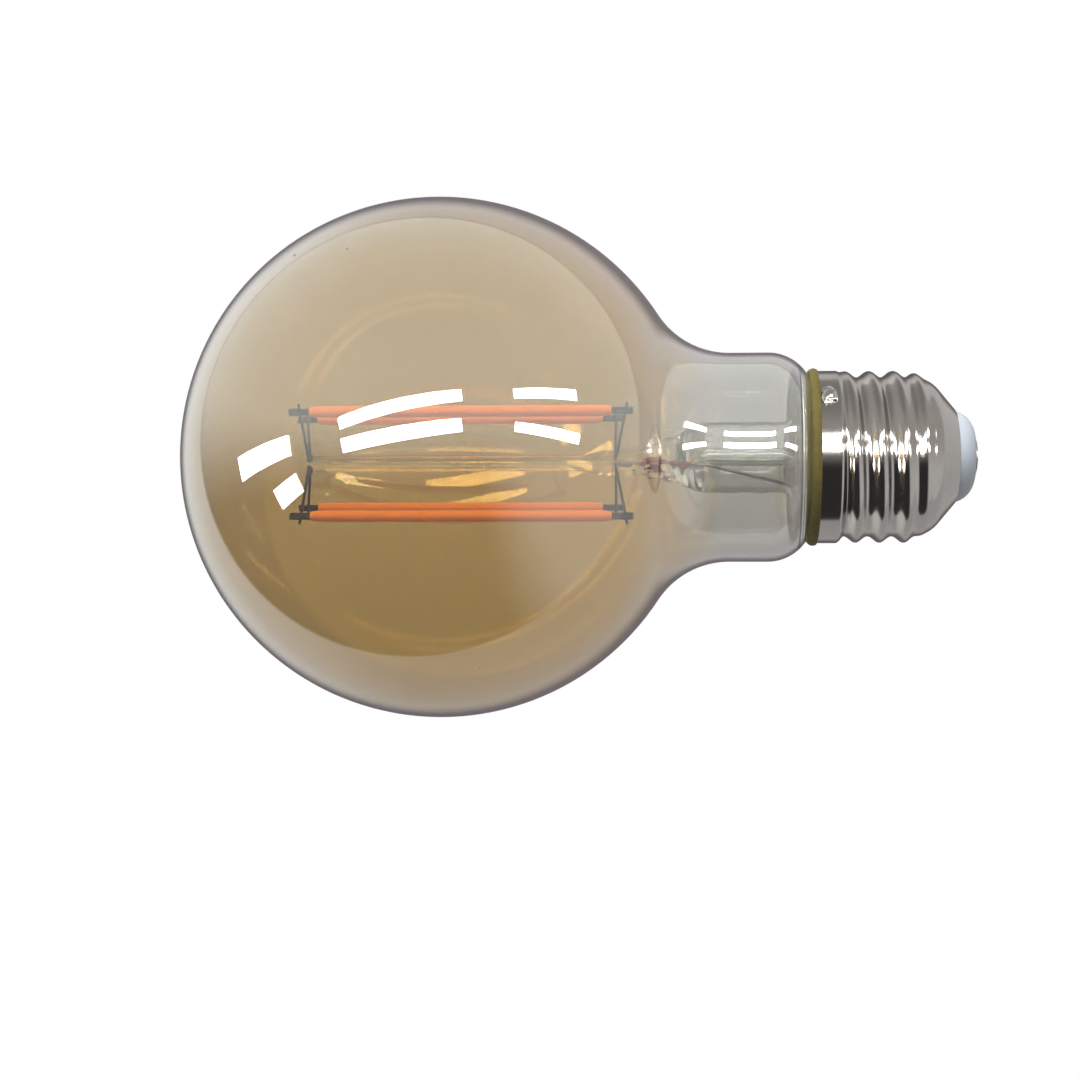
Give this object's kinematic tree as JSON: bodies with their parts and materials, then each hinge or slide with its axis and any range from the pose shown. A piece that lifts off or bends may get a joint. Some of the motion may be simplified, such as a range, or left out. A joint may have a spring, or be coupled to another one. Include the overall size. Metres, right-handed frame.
{
  "type": "filament light bulb",
  "caption": "Globe light bulb with amber glass, long glowing-strip filaments on a glass stem and a threaded metal screw cap with a built-in driver.",
  "frame": {"origin": "centre of the centre contact's outer face, the lowest point of the cap", "axes": "+Z along the bulb's axis from the cap to the globe's crown; +X is the side of filaments 1 and 2; -Y is the side of filaments 1 and 3"},
  "size_m": [0.08, 0.08, 0.1215],
  "materials": {
    "amber_glass": "clear amber tint, glossy",
    "stem_glass": "clear, fire polished",
    "nickel_wire": "drawn wire",
    "copper_lead": "copper sheath, oxidised red",
    "dark_wire": "dark nickel",
    "phosphor": "satin silicone with phosphor",
    "ceramic_strip": "ceramic",
    "chip": "gloss",
    "cement": "baked resin cement",
    "plated_cap": "bright nickel plating",
    "white_plastic": "satin",
    "contact_metal": "satin",
    "solder": "bright",
    "sleeve_film": "satin film",
    "green_board": "solder mask",
    "blue_board": "solder mask",
    "black_resin": "moulded resin",
    "capacitor_sleeve": "shrink sleeve",
    "ferrite": "ferrite",
    "shield_metal": "stamped sheet",
    "resistor_body": "lacquer",
    "red_insulation": "wire insulation",
    "blue_insulation": "wire insulation"
  },
  "bodies": {
    "root": {"glass_envelope": "amber_glass", "flare_tube": "stem_glass", "exhaust_tube": "stem_glass", "stem_press": "stem_glass", "centre_rod": "stem_glass", "inner_lead_a": "nickel_wire", "inner_lead_b": "nickel_wire", "dumet_a": "copper_lead", "dumet_b": "copper_lead", "outer_lead_a": "nickel_wire", "outer_lead_b": "nickel_wire", "led_chips": "chip", "basing_cement": "cement", "cap_shell": "plated_cap", "cap_insulator": "white_plastic", "centre_contact": "contact_metal", "side_joint": "solder", "insulating_sleeve": "sleeve_film", "driver_board": "green_board", "bridge_rectifier": "black_resin", "smoothing_capacitor": "capacitor_sleeve", "choke": "ferrite", "driver_chip": "black_resin", "radio_board": "blue_board", "radio_shield": "shield_metal", "radio_antenna": "copper_lead", "fusible_resistor": "resistor_body", "live_wire": "red_insulation", "neutral_wire": "blue_insulation", "filament_coat_1": "phosphor", "filament_strip_1": "ceramic_strip", "filament_terminals_1": "dark_wire", "base_support_wire_1": "dark_wire", "crown_support_wire_1": "dark_wire", "filament_coat_2": "phosphor", "filament_strip_2": "ceramic_strip", "filament_terminals_2": "dark_wire", "base_support_wire_2": "dark_wire", "crown_support_wire_2": "dark_wire", "filament_coat_3": "phosphor", "filament_strip_3": "ceramic_strip", "filament_terminals_3": "dark_wire", "base_support_wire_3": "dark_wire", "crown_support_wire_3": "dark_wire", "filament_coat_4": "phosphor", "filament_strip_4": "ceramic_strip", "filament_terminals_4": "dark_wire", "base_support_wire_4": "dark_wire", "crown_support_wire_4": "dark_wire"}
  },
  "joints": []
}
